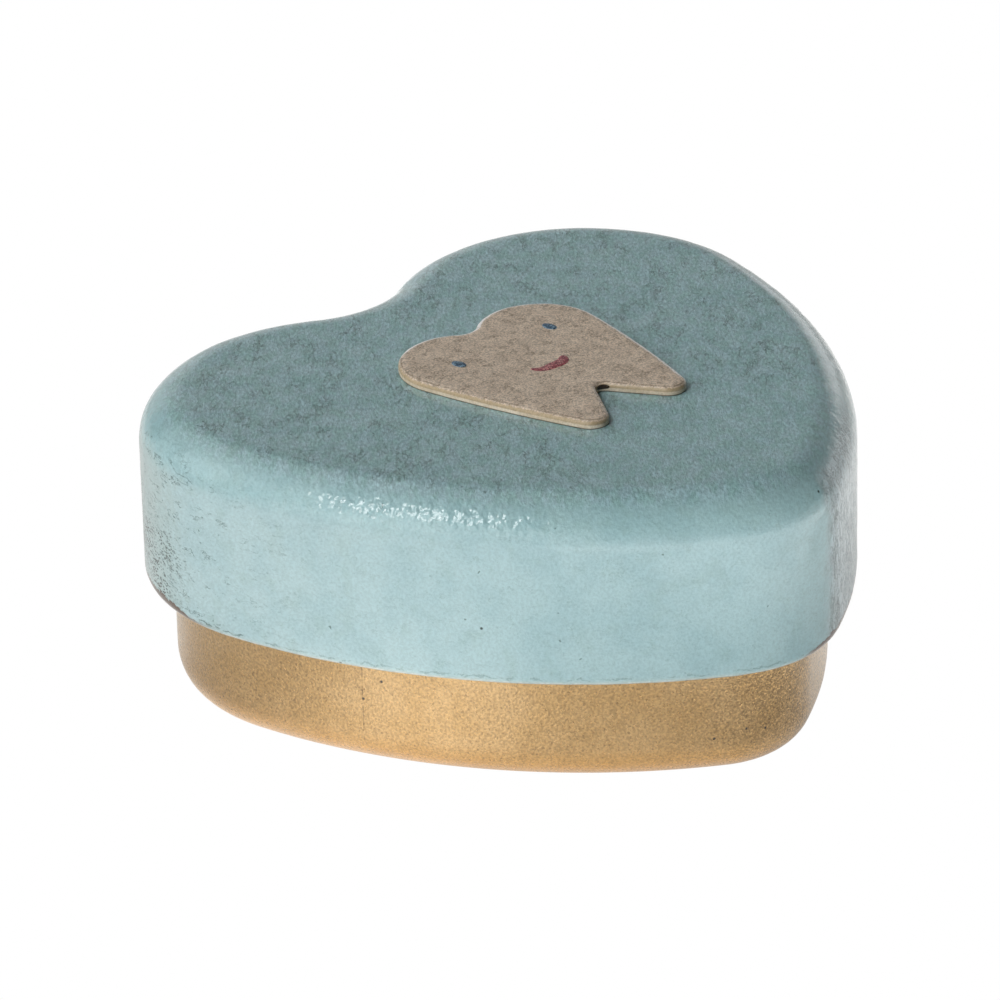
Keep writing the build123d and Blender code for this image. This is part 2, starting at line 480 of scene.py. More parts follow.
# The two ends of the block, where the paint lies on end grain. The left one is told by the way
# that the surface faces. The right one is told by the way from the tip's middle, fades out
# along the side and stays off the top.
left_end = facing_share(end_grain_way, 0.87, 0.985)
left_side = facing_share(end_grain_way, 0.55, 0.96)
off_tip = add_node(
    tree, "Mapping", where, location=(0, -heart_low.y - tip_radius, 0), scale=(1.0, 1.0, 0.0)
)
off_tip = add_node(tree, "VectorMath", off_tip, operation="NORMALIZE")
right_end = facing_share(end_grain_way - pi, 0.67, 0.82, off_tip)
level_with = add_node(
    tree, "Mapping", where, location=(0, 0, rubbed_right[2]), scale=(1.0, 1.0, 0.0)
)
right_shares = [
    add_node(tree, "MapRange", turned[2], 0.60, 0.85, 1.0, 0.0, **smooth),
    by_distance(tree, level_with, rubbed_right, 3 * MM, 13 * MM),
]
for share in right_shares:
    right_end = add_node(tree, "Math", right_end, share, operation="MULTIPLY")

# Curls: the film has drawn together into small curled lumps, with dark marks in the grooves
# between them. The wood's raised grain stretches them.
curl_width = 0.56 * MM
groove_spacing = 0.55 * MM
stretched = add_node(
    tree, "Mapping", where, vector_type="TEXTURE", rotation=(0, 0, raised_grain_way),
    scale=(2.0, 1.0, 1.0),
)
curls = add_node(tree, "TexNoise", where, scale=1 / curl_width, detail=1.0, roughness=0.4)
curl_shares = [
    add_node(tree, "MapRange", turned[2], 0.05, 0.50, 0.14, **smooth),
    add_node(tree, "MapRange", turned[2], 0.72, 0.96, 1.0, 0.12, **smooth),
    by_distance(tree, where, most_curled, 6 * MM, 13 * MM, 1.1, 0.50),
]
for share in curl_shares:
    curls = add_node(tree, "Math", curls, share, operation="MULTIPLY")
marks = hairlines(tree, stretched, groove_spacing, 0.005, 0.022, roughness=0.55)
mark_shares = [
    patches_of(tree, stretched, 0.9 * MM, 0.53, 0.61),
    add_node(tree, "MapRange", upward, 0.0, 1.0, 0.28, 0.38, **smooth),
]
for share in mark_shares:
    marks = add_node(tree, "Math", marks, share, operation="MULTIPLY")

# Cracks: broken hairlines, flattened so that they run level round the walls, and more of them
# towards the left end. On the top they are creases in the film, which stop short of the tip.
crack_spacing = 2.0 * MM
crease_spacing = 1.1 * MM
level = add_node(tree, "Mapping", where, rotation=(radians(8), 0, 0), scale=(1.0, 1.0, 3.0))
cracks = hairlines(tree, level, crack_spacing, 0.003, 0.016, detail=4.0, roughness=0.62)
crack_shares = [
    patches_of(tree, level, 2.2 * MM, 0.51, 0.58, roughness=0.6),
    add_node(tree, "MapRange", left_side, 0.0, 1.0, 0.14, 0.70, **smooth),
]
for share in crack_shares:
    cracks = add_node(tree, "Math", cracks, share, operation="MULTIPLY")
creases = hairlines(tree, stretched, crease_spacing, 0.003, 0.022, detail=5.0, roughness=0.68)
lid_tip = (0, heart_low.y, heart_high.z)
crease_shares = [
    patches_of(tree, stretched, 1.6 * MM, 0.47, 0.57, detail=3.0, roughness=0.6),
    add_node(tree, "MapRange", turned[2], 0.93, 0.995, 0.05, **smooth),
    by_distance(tree, where, lid_tip, 13 * MM, 22 * MM, 0.25, 1.0),
]
for share in crease_shares:
    creases = add_node(tree, "Math", creases, share, operation="MULTIPLY")

# Flecks: a tiny dark dot every few millimetres, where a grain of dirt stuck, and three larger
# ones, each at a place of its own.
fleck_spacing = 2.4 * MM
dirt_places = [
    (-20.63 * MM, -12.71 * MM, 15.26 * MM),
    (2.55 * MM, -27.14 * MM, 24.15 * MM),
    (-26.29 * MM, -2.15 * MM, 10.54 * MM),
]
wander = add_node(tree, "TexNoise", where, scale=1 / (0.8 * MM), detail=3.0).outputs["Color"]
wandering = add_node(tree, "VectorMath", wander, [1.2 * MM] * 3, where, operation="MULTIPLY_ADD")
flecks = add_node(tree, "TexVoronoi", wandering, scale=1 / fleck_spacing).outputs["Distance"]
flecks = add_node(tree, "MapRange", flecks, 0.030, 0.055, 1.0, 0.0, **smooth)

# Pores and wrinkles: the end grain drank the paint, which left its open vessels dark on the
# left and dried in fine upright wrinkles on the right, darkest where they begin.
pore_width = 0.36 * MM      # the end grain's vessels are 0.1 mm, drawn coarser so that they show
wrinkle_width = 0.38 * MM
low = add_node(tree, "Mapping", where, scale=(1.0, 1.0, 2.0))
pores = add_node(tree, "TexVoronoi", low, scale=1 / pore_width).outputs["Distance"]
pores = add_node(tree, "MapRange", pores, 0.36, 0.56, 1.0, 0.0, **smooth)
pore_shares = [
    patches_of(tree, low, 0.6 * MM, 0.43, 0.50, detail=3.0, roughness=0.65),
    add_node(tree, "MapRange", spot[2], 20 * MM, 15 * MM, 0.08, **smooth),
    patches_of(tree, where, 2.6 * MM, 0.38, 0.56, 0.45, 1.0, detail=3.0, roughness=0.6),
    left_end,
]
for share in pore_shares:
    pores = add_node(tree, "Math", pores, share, operation="MULTIPLY")
upright = add_node(tree, "Mapping", wandering, scale=(1.0, 1.0, 0.20))
wrinkles = hairlines(tree, upright, wrinkle_width, 0.010, 0.045, detail=3.0, roughness=0.6)
wrinkles = add_node(tree, "Math", wrinkles, right_end, operation="MULTIPLY")
well_in = facing_share(end_grain_way - pi, 0.78, 0.88, off_tip)
first_wrinkles = add_node(tree, "Math", right_end, well_in, operation="SUBTRACT")
first_wrinkles = add_node(
    tree, "Math", first_wrinkles,
    patches_of(tree, upright, 0.7 * MM, 0.46, 0.60, detail=3.0, roughness=0.6),
    operation="MULTIPLY",
)

# The lower edge: the film cracked along the line where the edge was eased, and at both ends
# it is rubbed through to brown wood. The eased edge itself is painted pale, a painted highlight
# where it catches the light from the floor.
edge_wobble = add_node(tree, "TexNoise", where, scale=1 / (0.9 * MM), detail=4.0, roughness=0.65)
edge_wobble = add_node(tree, "Math", edge_wobble, 0.5, operation="SUBTRACT")
edge_line = add_node(tree, "Math", edge_wobble, 1.3 * MM, above_edge, operation="MULTIPLY_ADD")
edge_line = away_from(tree, edge_line, 0.85 * MM)
edge_crack = add_node(tree, "MapRange", edge_line, 0.03 * MM, 0.11 * MM, 1.0, 0.0, **smooth)
edge_shares = [
    patches_of(tree, where, 1.5 * MM, 0.45, 0.53, detail=4.0, roughness=0.65),
    add_node(tree, "MapRange", left_side, 0.0, 0.5, 0.45, 0.9, **smooth),
]
for share in edge_shares:
    edge_crack = add_node(tree, "Math", edge_crack, share, operation="MULTIPLY")
to_left = add_node(
    tree, "VectorMath", where, (cos(end_grain_way), sin(end_grain_way), 0), operation="DOT_PRODUCT"
)
both_ends = add_node(
    tree, "Math",
    add_node(tree, "MapRange", to_left, 30.5 * MM, 32.0 * MM, **smooth),
    by_distance(tree, where, rubbed_right, 7 * MM, 9 * MM),
    operation="MAXIMUM",
)
most_rubbed = add_node(
    tree, "Math",
    add_node(tree, "MapRange", to_left, 31.8 * MM, 32.8 * MM, **smooth),
    by_distance(tree, where, rubbed_right, 5 * MM, 8.5 * MM),
    operation="MAXIMUM",
)
rub_wobble = add_node(tree, "TexNoise", where, scale=1 / (0.5 * MM))
rub_line = add_node(tree, "Math", rub_wobble, 0.8 * MM, above_edge, operation="MULTIPLY_ADD")
rub_line = add_node(tree, "Math", most_rubbed, -0.55 * MM, rub_line, operation="MULTIPLY_ADD")
rubbed = add_node(tree, "MapRange", rub_line, 1.05 * MM, 1.20 * MM, 1.0, 0.0, **smooth)
rubbed = add_node(tree, "Math", rubbed, both_ends, operation="MULTIPLY")
painted_rim_highlight = add_node(tree, "MapRange", above_edge, 0.42 * MM, 0.60 * MM, 1.0, 0.0, **smooth)
painted_rim_highlight = add_node(
    tree, "Math", painted_rim_highlight, patches_of(tree, where, 0.8 * MM, 0.40, 0.60, 0.2, 0.8),
    operation="MULTIPLY",
)

# The colour is laid on from the ground up: the coats, then tints, then lines and dark spots.
felt_width = 0.23 * MM
felt = add_node(tree, "TexNoise", stretched, scale=1 / felt_width, roughness=0.65)
paint_colour = azure_light
coats = [
    # where a coat shows, how strongly, and its colour
    (patches_of(tree, where, 3.6 * MM, 0.36, 0.66, detail=4.0, roughness=0.55), 1.0, azure_deep),
    (patches_of(tree, where, 2.0 * MM, 0.52, 0.70, detail=3.0), 0.16, azure_thin),
    (left_end, 0.5, azure_worn),
    # paler at the right end: partly dry paint on end grain, partly a painted grazing reflection
    (right_end, 0.6, azure_chalky_and_sheen),
    # painted highlight along the eased lower edge
    (painted_rim_highlight, 1.0, azure_rim_highlight),
]
cloud = patches_of(tree, stretched, 1.0 * MM, 0.40, 0.60, detail=3.0, roughness=0.6)
on_wall = add_node(tree, "MapRange", turned[2], 0.1, 0.5, 1.0, 0.0, **smooth)
tints = [
    # where a tint shows, how strongly, and what it is: felt, painted light on the walls towards
    # the glow in front, painted shade on the top, clouds and nap
    (1.0, 1.0, add_node(tree, "MapRange", felt, 0.28, 0.72, 0.91, 1.06, **smooth)),
    # painted light: walls that face the glow in front are tinted bluer
    (facing_share(radians(-85), 0.10, 0.90), on_wall, front_light_painted_tint),
    # painted shade: the top and shoulder, as they turn upwards, are tinted greener and a little
    # darker
    (add_node(tree, "MapRange", turned[2], 0.05, 0.55, **smooth), 1.0, top_shade_painted_tint),
    (upward, 1.0, add_node(tree, "Mix", cloud, cloud_dark, cloud_light, **in_colour)),
    (upward, 0.9, patches_of(tree, stretched, 0.26 * MM, 0.36, 0.64, 0.82, 1.13, roughness=0.65)),
]
lines = [
    # where a line or a dark spot shows, how strongly, and its colour
    (marks, 1.0, azure_mark),
    (creases, 0.52, azure_crack),
    (flecks, 0.7, azure_crack),
    (cracks, 1.0, azure_crack),
    (edge_crack, 0.8, azure_crack),
    (wrinkles, 0.65, azure_streak),
    (first_wrinkles, 0.75, azure_crack),
    (pores, 0.95, azure_pore),
    (rubbed, 1.0, bare_edge),
]
for dirt_place in dirt_places:
    lines.append((by_distance(tree, where, dirt_place, 0.07 * MM, 0.16 * MM), 0.9, azure_pore))
for layers, blend_type in ((coats, "MIX"), (tints, "MULTIPLY"), (lines, "MIX")):
    for share, strength, colour in layers:
        share = add_node(tree, "Math", share, strength, operation="MULTIPLY")
        paint_colour = add_node(
            tree, "Mix", share, paint_colour, colour, **in_colour, blend_type=blend_type
        )

# The film stands up in curls and sinks at each crack, pore and crease. It is a satin film with
# a faint gloss of its own over the curls.
curl_relief = 0.135 * MM
felt_relief = 0.045 * MM
curl_height = add_node(tree, "Math", wrinkles, -0.25, curls, operation="MULTIPLY_ADD")
coarse_relief = add_node(tree, "Bump", distance=curl_relief, height=curl_height)
sunk = add_node(tree, "Math", creases, 0.75, operation="MULTIPLY")
for line in (cracks, pores, edge_crack):
    sunk = add_node(tree, "Math", sunk, line, operation="MAXIMUM")
felt_share = add_node(tree, "MapRange", upward, 0.0, 1.0, 1.0, 1.7, **smooth)
felt_height = add_node(tree, "Math", felt, felt_share, operation="MULTIPLY")
felt_height = add_node(tree, "Math", felt_height, sunk, operation="SUBTRACT")
fine_relief = add_node(
    tree, "Bump", distance=felt_relief, height=felt_height, normal=coarse_relief
)
shader = add_node(
    tree, "BsdfPrincipled", base_color=paint_colour, ior=1.5,
    roughness=add_node(tree, "MapRange", felt, 0.2, 0.8, 0.28, 0.42, **smooth),
    normal=fine_relief, specular_ior_level=0.15,
    coat_weight=0.9, coat_roughness=0.10, coat_normal=coarse_relief,
)
add_node(tree, "OutputMaterial", surface=shader)

lid_bottom, lid_top = heart_low.z, heart_high.z
top_round = 3.9 * MM
edge_round = 1.2 * MM
skirt_wall = 2.1 * MM
lead_in = 0.4 * MM
lid_steps = 620
top_rows, shoulder_rows, wall_rows, edge_rows, under_rows = 46, 22, 34, 8, 2
lead_rows, skirt_rows, ceiling_rows, calm_rows = 2, 12, 10, 4

lid_profile = np.vstack([
    run((top_round, lid_top, 1), (top_round, lid_top, 0), top_rows),
    bend(top_round, lid_top - top_round, top_round, 90, -90, shoulder_rows),
    run((0, lid_top - top_round, 0), (0, lid_bottom + edge_round, 0), wall_rows),
    bend(edge_round, lid_bottom + edge_round, edge_round, 0, -90, edge_rows),
    run((edge_round, lid_bottom, 0), (skirt_wall - lead_in, lid_bottom, 0), under_rows),
    run((skirt_wall - lead_in, lid_bottom, 0), (skirt_wall, lid_bottom + lead_in, 0), lead_rows),
    run((skirt_wall, lid_bottom + lead_in, 0), (skirt_wall, rim_height, 0), skirt_rows),
    run((skirt_wall, rim_height, 0), (skirt_wall, rim_height, 1), ceiling_rows)[:-1],
])
painted_rows = top_rows + shoulder_rows + wall_rows + edge_rows + under_rows
lid_grid = carry(heart_path(lid_steps), lid_profile)
lid_share = np.zeros(len(lid_profile))
lid_share[:painted_rows] = 1
lid_share[painted_rows - calm_rows:painted_rows] = 0.3
lid_lumps = 0.018 * lumps(lid_grid, 1.4 * MM, 21) + 0.020 * lumps(lid_grid, 4.5 * MM, 22)
lid_grid += facing(lid_grid) * (MM * lid_lumps * lid_share[:, None])[..., None]
lid_cap = close_grid("lid_cap", lid_grid, (0, 0, lid_top), (0, 0, rim_height))
for material in (azure_paint, bare_wood):
    lid_cap.data.materials.append(material)
lid_quads = lid_steps * (len(lid_profile) - 1)
which = np.zeros(len(lid_cap.data.polygons), dtype=np.int32)
which[lid_steps * painted_rows:lid_quads] = 1
which[lid_quads + lid_steps:] = 1
lid_cap.data.polygons.foreach_set("material_index", which)
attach(lid_cap, "lid")
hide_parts("lid")

# Tooth plaque: a molar cut from thin pale plywood, its top stained a soft taupe and its edge
# left nearly white. It is glued flat on the lid.
crown_radius = 5.3 * MM
crown_spacing = 8.7 * MM
dip_radius = 1.8 * MM
flank_radius = 90.0 * MM
root_radius = 1.5 * MM
root_spacing = 8.8 * MM
crotch_radius = 0.7 * MM
crotch_depth = 5.0 * MM
plaque_length = 21.6 * MM
plaque_edge_round = 0.4 * MM
plaque_middle = (0.5 * MM, 1.65 * MM)
plaque_turn = radians(1.0)
plaque_turning = np.array([
    [cos(plaque_turn), sin(plaque_turn)],
    [-sin(plaque_turn), cos(plaque_turn)],
])
plaque_low, plaque_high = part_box("tooth_plaque")


def tooth_path(count):
    """Points at even steps along the tooth's outline, and the outward direction at each.

    It is a chain of tangent arcs, the two straight inner edges of the roots being arcs of a
    very large radius.
    """
    top = plaque_length / 2
    crown = (crown_spacing / 2, top - crown_radius)
    dip = (0.0, crown[1] + sqrt((crown_radius + dip_radius) ** 2 - crown[0] ** 2))
    root = (root_spacing / 2, root_radius - top)
    crotch = (0.0, crotch_depth - top - crotch_radius)
    far = far_centre(crown, crown_radius, root, root_radius, flank_radius)
    dip_end = atan2(crown[1] - dip[1], crown[0] - dip[0])
    crown_start = atan2(crown[1] - far[1], crown[0] - far[0])
    crown_end = atan2(dip[1] - crown[1], dip[0] - crown[0])
    flank_start = atan2(root[1] - far[1], root[0] - far[0])
    spread = hypot(root[0] - crotch[0], root[1] - crotch[1])
    inner_side = atan2(root[1] - crotch[1], root[0] - crotch[0]) + np.arccos(
        (crotch_radius + root_radius) / spread
    )
    inner_length = sqrt(spread**2 - (crotch_radius + root_radius) ** 2)
    nearly_straight = 1000 * inner_length
    outward = np.array([cos(inner_side - pi), sin(inner_side - pi)])
    inner_start = np.array(crotch) - crotch_radius * outward
    inner_centre = inner_start - nearly_straight * outward
    inner_sweep = inner_length / nearly_straight
    root_start = inner_side - pi + inner_sweep
    right = [
        (crotch, crotch_radius, pi / 2, inner_side - pi / 2),
        (tuple(inner_centre), nearly_straight, inner_side - pi, inner_sweep),
        (root, root_radius, root_start, flank_start - root_start),
        (far, flank_radius, flank_start, crown_start - flank_start),
        (crown, crown_radius, crown_start, crown_end - crown_start),
        (dip, dip_radius, dip_end, -pi / 2 - dip_end),
    ]
    left = [
        ((-centre[0], centre[1]), radius, pi - start - sweep, sweep)
        for centre, radius, start, sweep in reversed(right)
    ]
    point, outward = path_of_arcs(right + left, count)
    return point @ plaque_turning + np.array(plaque_middle), outward @ plaque_turning


# The plywood's top is stained thinly, so it looks soft and mottled with short fibres. The stain
# stops short of the rounded edge, which is cream at its foot, brightened there by a painted
# highlight. The edge carries painted shade right at its foot where it meets the lid, and a
# painted highlight along the far side. A small spot in the crotch is dark.
taupe_light = linear("#DFCDB8")
taupe_dark = linear("#D2BFAA")
taupe_speck = linear("#85745F")
cream_and_highlight_edge = linear("#F3E4CF")
back_highlight_edge = linear("#FAF7F2")
tan_edge = linear("#C2AC8B")
contact_shade_edge = linear("#5F5A4C")
crotch_dark = linear("#2A1F18")
back_way = radians(33)
ply_fibre_width = 0.30 * MM
ply_grain_width = 0.15 * MM     # real fibres are 0.03 mm, drawn coarser so that they show
crease_width = 0.45 * MM
ply_relief = 0.045 * MM
crotch_dark_flatness = 2.2

plaque_wood, tree, place = new_material("taupe_stained_plywood")
where = place["Object"]
rim = add_node(tree, "Attribute", attribute_name="edge_distance").outputs["Fac"]
height = add_node(tree, "SeparateXYZ", where).outputs["Z"]
height = add_node(tree, "Math", height, plaque_low.z, operation="SUBTRACT")
along_grain = add_node(
    tree, "Mapping", where, rotation=(0, 0, radians(90)), scale=(0.35, 1.0, 1.0)
)
fibres = add_node(
    tree, "TexNoise", along_grain, scale=1 / ply_fibre_width, detail=3.0, roughness=0.65
)
grains = add_node(tree, "TexNoise", where, scale=1 / ply_grain_width, roughness=0.7)
ragged = add_node(tree, "Math", fibres, 0.5, operation="SUBTRACT")
ragged = add_node(tree, "Math", ragged, 0.20 * MM, rim, operation="MULTIPLY_ADD")

creases = hairlines(tree, where, crease_width, 0.010, 0.060, 0.70, detail=3.0, roughness=0.6)
crease_share = patches_of(tree, where, 0.8 * MM, 0.51, 0.59)
contour = away_from(tree, ragged, 0.24 * MM)
contour = add_node(tree, "MapRange", contour, 0.03 * MM, 0.10 * MM, 0.70, 0.0, **smooth)
contour_share = patches_of(tree, where, 1.1 * MM, 0.42, 0.56, 0.15, 1.0)
blotches = patches_of(tree, where, 1.6 * MM, 0.35, 0.70, detail=3.0)
stain = add_node(tree, "Mix", blotches, taupe_light, taupe_dark, **in_colour)
dark_fibres = add_node(tree, "MapRange", fibres, 0.45, 0.80, 0.0, 0.5, **smooth)
stain = add_node(tree, "Mix", dark_fibres, stain, taupe_dark, **in_colour)
grain_tint = add_node(tree, "MapRange", grains, 0.40, 0.60, 0.70, 1.16, **smooth)
stain = add_node(tree, "Mix", 1.0, stain, grain_tint, **in_colour, blend_type="MULTIPLY")
for line, share in ((creases, crease_share), (contour, contour_share)):
    share = add_node(tree, "Math", line, share, operation="MULTIPLY")
    stain = add_node(tree, "Mix", share, stain, taupe_speck, **in_colour)

# The pale ply edge, made brighter low down as a painted highlight.
cream_line_and_highlight = add_node(
    tree, "Math",
    add_node(tree, "MapRange", height, 0.30 * MM, 0.40 * MM, 1.0, 0.0, **smooth),
    patches_of(tree, where, 2.5 * MM, 0.35, 0.65, 0.45, 1.0),
    operation="MULTIPLY",
)
edge = add_node(tree, "Mix", cream_line_and_highlight, tan_edge, cream_and_highlight_edge, **in_colour)
# painted shade: the edge's very foot is darkened where the plaque meets the lid
contact_shade_line = add_node(tree, "MapRange", height, 0.05 * MM, 0.12 * MM, 0.9, 0.0, **smooth)
edge = add_node(tree, "Mix", contact_shade_line, edge, contact_shade_edge, **in_colour)
grain_tint = add_node(tree, "MapRange", grains, 0.30, 0.70, 0.86, 1.08, **smooth)
edge = add_node(tree, "Mix", 1.0, edge, grain_tint, **in_colour, blend_type="MULTIPLY")
# A small spot low on the edge in the crotch is darkened.
flattened = add_node(tree, "Mapping", where, scale=(1.0, 1.0, crotch_dark_flatness))
crotch_dark_place = (
    plaque_middle[0] + 0.30 * MM,
    plaque_middle[1] + crotch_depth - plaque_length / 2 - 0.35 * MM,
    (plaque_low.z + 0.42 * MM) * crotch_dark_flatness,
)
crotch_dark_spot = by_distance(tree, flattened, crotch_dark_place, 0.50 * MM, 0.62 * MM, 0.97)
edge = add_node(tree, "Mix", crotch_dark_spot, edge, crotch_dark, **in_colour)
# painted highlight: the rounded edge on the far side is painted near white, and the stain drawn
# back from it
from_behind = add_node(
    tree, "VectorMath", where, (cos(back_way), sin(back_way), 0), operation="DOT_PRODUCT"
)
back_highlight_share = add_node(
    tree, "Math",
    add_node(tree, "MapRange", from_behind, -0.5 * MM, 1.5 * MM, **smooth),
    add_node(tree, "MapRange", height, 0.30 * MM, 0.45 * MM, **smooth),
    operation="MULTIPLY",
)
edge = add_node(tree, "Mix", back_highlight_share, edge, back_highlight_edge, **in_colour)
ragged = add_node(tree, "Math", back_highlight_share, -0.31 * MM, ragged, operation="MULTIPLY_ADD")
on_top = add_node(tree, "MapRange", ragged, 0.06 * MM, 0.13 * MM, **smooth)
plaque_colour = add_node(tree, "Mix", on_top, edge, stain, **in_colour)

ply_height = add_node(
    tree, "Math",
    add_node(tree, "Math", fibres, grains, operation="ADD"),
    add_node(tree, "MapRange", rim, 0.3 * MM, 0.6 * MM, 0.3, **smooth),
    operation="MULTIPLY",
)
ply_roughness = add_node(
    tree, "Math",
    add_node(tree, "MapRange", fibres, 0.2, 0.8, 0.48, 0.66, **smooth),
    add_node(tree, "MapRange", rim, 0.35 * MM, 0.6 * MM, 0.5, **smooth),
    operation="MULTIPLY",
)
shader = add_node(
    tree, "BsdfPrincipled", base_color=plaque_colour, ior=1.5, roughness=ply_roughness,
    normal=add_node(tree, "Bump", distance=ply_relief, height=ply_height),
)
add_node(tree, "OutputMaterial", surface=shader)

plaque_steps = 420
face_rows, brow_rows, flank_rows, back_rows = 24, 6, 5, 6
brow_start = plaque_high.z - plaque_edge_round
fill_middle = (plaque_middle[0], plaque_middle[1] + 2.0 * MM)
plaque_profile = np.vstack([
    run((plaque_edge_round, plaque_high.z, 1), (plaque_edge_round, plaque_high.z, 0), face_rows),
    bend(plaque_edge_round, brow_start, plaque_edge_round, 90, -90, brow_rows),
    run((0, brow_start, 0), (0, plaque_low.z, 0), flank_rows),
    run((0, plaque_low.z, 0), (0, plaque_low.z, 1), back_rows)[:-1],
])
plaque_grid = carry(tooth_path(plaque_steps), plaque_profile, fill_middle)
plaque_share = np.zeros(len(plaque_profile))
plaque_share[:face_rows + brow_rows + flank_rows - 1] = 1
plaque_lumps = 0.012 * lumps(plaque_grid, 0.8 * MM, 31) + 0.015 * lumps(plaque_grid, 2.5 * MM, 32)
plaque_grid += facing(plaque_grid) * (MM * plaque_lumps * plaque_share[:, None])[..., None]
tooth_cutout = close_grid(
    "tooth_cutout", plaque_grid, (*fill_middle, plaque_high.z), (*fill_middle, plaque_low.z)
)

# The stain and the relief follow how far a point of the top lies from the plaque's edge: the
# row's inset plus its shrink times the crown's radius, and 0 all down the edge.
distance = plaque_profile[:, 0] + plaque_profile[:, 2] * crown_radius
distance[face_rows + brow_rows:] = 0
distance = np.append(np.repeat(distance, plaque_steps), [crown_radius, 0])
edge_distance = tooth_cutout.data.attributes.new("edge_distance", "FLOAT", "POINT")
edge_distance.data.foreach_set("value", distance.astype(np.float32))
tooth_cutout.data.materials.append(plaque_wood)
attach(tooth_cutout, "lid")
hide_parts("tooth_plaque")

# Eyes and smile: small daubs of acrylic paint laid on the plaque with a fine brush, thickest
# along the middle of the stroke.
eye_blue = linear("#48677F")
eye_rim = linear("#7C98AB")
smile_red = linear("#A0525A")
smile_pale = linear("#C98988")
streak_width = 0.15 * MM
thin_width = 0.3 * MM
brush_relief = 0.02 * MM
paint_thickness = 0.08 * MM
daub_steps, eye_rows, smile_rows = 28, 24, 40
eye_width = 0.95 * MM
eye_length = 1.45 * MM
eye_spacing = 10.3 * MM
eye_above_middle = 5.15 * MM
smile_width = 3.6 * MM
smile_above_middle = 0.4 * MM
smile_sag = 1.6 * MM
smile_upper_sag = 0.4 * MM
smile_half_width = 0.66 * MM
left_weight = 0.66


def acrylic(name, main, pale):
    """Brushed acrylic: satin, with faint streaks where the bristles dragged it thin."""
    material, tree, place = new_material(name)
    streaks = add_node(tree, "TexNoise", place["Object"], scale=1 / streak_width, roughness=0.6)
    streak_tint = add_node(tree, "MapRange", streaks, 0.44, 0.56, 0.45, 1.20, **smooth)
    thin = patches_of(tree, place["Object"], thin_width, 0.46, 0.60, detail=3.0, roughness=0.6)
    colour = add_node(tree, "Mix", thin, main, pale, **in_colour)
    colour = add_node(tree, "Mix", 1.0, colour, streak_tint, **in_colour, blend_type="MULTIPLY")
    shader = add_node(
        tree, "BsdfPrincipled", base_color=colour, ior=1.49,
        roughness=add_node(tree, "MapRange", streaks, 0.2, 0.8, 0.40, 0.58, **smooth),
        normal=add_node(tree, "Bump", distance=brush_relief, height=streaks),
    )
    add_node(tree, "OutputMaterial", surface=shader)
    return material


def daub(name, middle_line, half_width, along):
    """A closed pad of paint along a line on the plaque.

    Its cross-section, at each point of the line, is half an ellipse: as wide as twice the
    half width and as high as the paint is thick, less towards the ends. It lies on a flat
    underside. The two ends close in a point.
    """
    angle = np.linspace(0, 2 * pi, daub_steps, endpoint=False)
    across = np.stack([-along[:, 1], along[:, 0]], axis=1)
    side = half_width[:, None] * np.cos(angle)
    ridge = paint_thickness * np.sqrt(half_width / half_width.max())
    height = ridge[:, None] * np.maximum(np.sin(angle), 0)
    flat = middle_line[:, None] + side[..., None] * across[:, None]
    flat = flat @ plaque_turning + np.array(plaque_middle)
    grid = np.concatenate([flat, (plaque_high.z + height)[..., None]], axis=2)
    ends = [grid[row].mean(axis=0) for row in (0, -1)]
    return close_grid(name, grid, *ends)


blue_acrylic = acrylic("dusty_blue_acrylic", eye_blue, eye_rim)
red_acrylic = acrylic("dusky_red_acrylic", smile_red, smile_pale)

# Eyes: upright ovals, each one short stroke.
stroke = np.linspace(0, pi, eye_rows)[1:-1]
for side, name in ((-1, "left_eye"), (1, "right_eye")):
    line = np.stack(
        [
            np.full(len(stroke), side * eye_spacing / 2),
            eye_above_middle - eye_length / 2 * np.cos(stroke),
        ],
        axis=1,
    )
    along = np.tile([0.0, 1.0], (len(stroke), 1))
    eye = daub(name + "_daub", line, eye_width / 2 * np.sin(stroke), along)
    eye.data.materials.append(blue_acrylic)
    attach(eye, "lid")
    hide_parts(name)

# Smile: one stroke along a curve of the fourth power, so it is flat in the middle and turns up
# at the corners. It narrows towards both, and is heaviest on the right.
across_smile = -np.cos(np.linspace(0, pi, smile_rows)[1:-1])
smile_end = smile_above_middle - 0.15 * MM
smile_depth = 0.85 * (smile_sag + smile_upper_sag) / 2
line = np.stack(
    [across_smile * smile_width / 2, smile_end - smile_depth * (1 - across_smile**4)], axis=1
)
along = np.stack(
    [np.full(len(line), smile_width / 2), 4 * smile_depth * across_smile**3], axis=1
)
along /= np.linalg.norm(along, axis=1, keepdims=True)
heavier_right = left_weight + (1 - left_weight) * (1 + across_smile) / 2
half_width = smile_half_width * (1 - across_smile**2) ** 0.35 * heavier_right
smile = daub("smile_daub", line, half_width, along)
smile.data.materials.append(red_acrylic)
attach(smile, "lid")
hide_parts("smile")

# Floor: a wide white sweep, seen as plain white. It glows and so lights the box from below: close
# under it, in pools beside it, and farther off more on some sides than on others.
sweep_white = linear("#F4F4F2")
sweep_reach = 3.0
near_glow = 0.42
pool_core = 5 * MM
pools = [
    # where a pool of light lies, its radius, and its strength
    ((-40 * MM, -11 * MM, 0), 23 * MM, 0.87),
    ((19 * MM, -19 * MM, 0), 15 * MM, 0.15),
    ((-22 * MM, 35 * MM, 0), 14 * MM, 0.18),
]
far_glows = [
    # heading in degrees, where the glow begins and where it is full, and its strength
    (-130, 0 * MM, 100 * MM, 0.70),
    (-85, 49 * MM, 66 * MM, 1.42),
    (40, 0 * MM, 120 * MM, 0.40),
    (-10, 10 * MM, 40 * MM, 0.58),
    (15, 50 * MM, 90 * MM, -0.30),
    (115, 10 * MM, 60 * MM, 0.13),
    (180, 10 * MM, 40 * MM, 0.12),
]

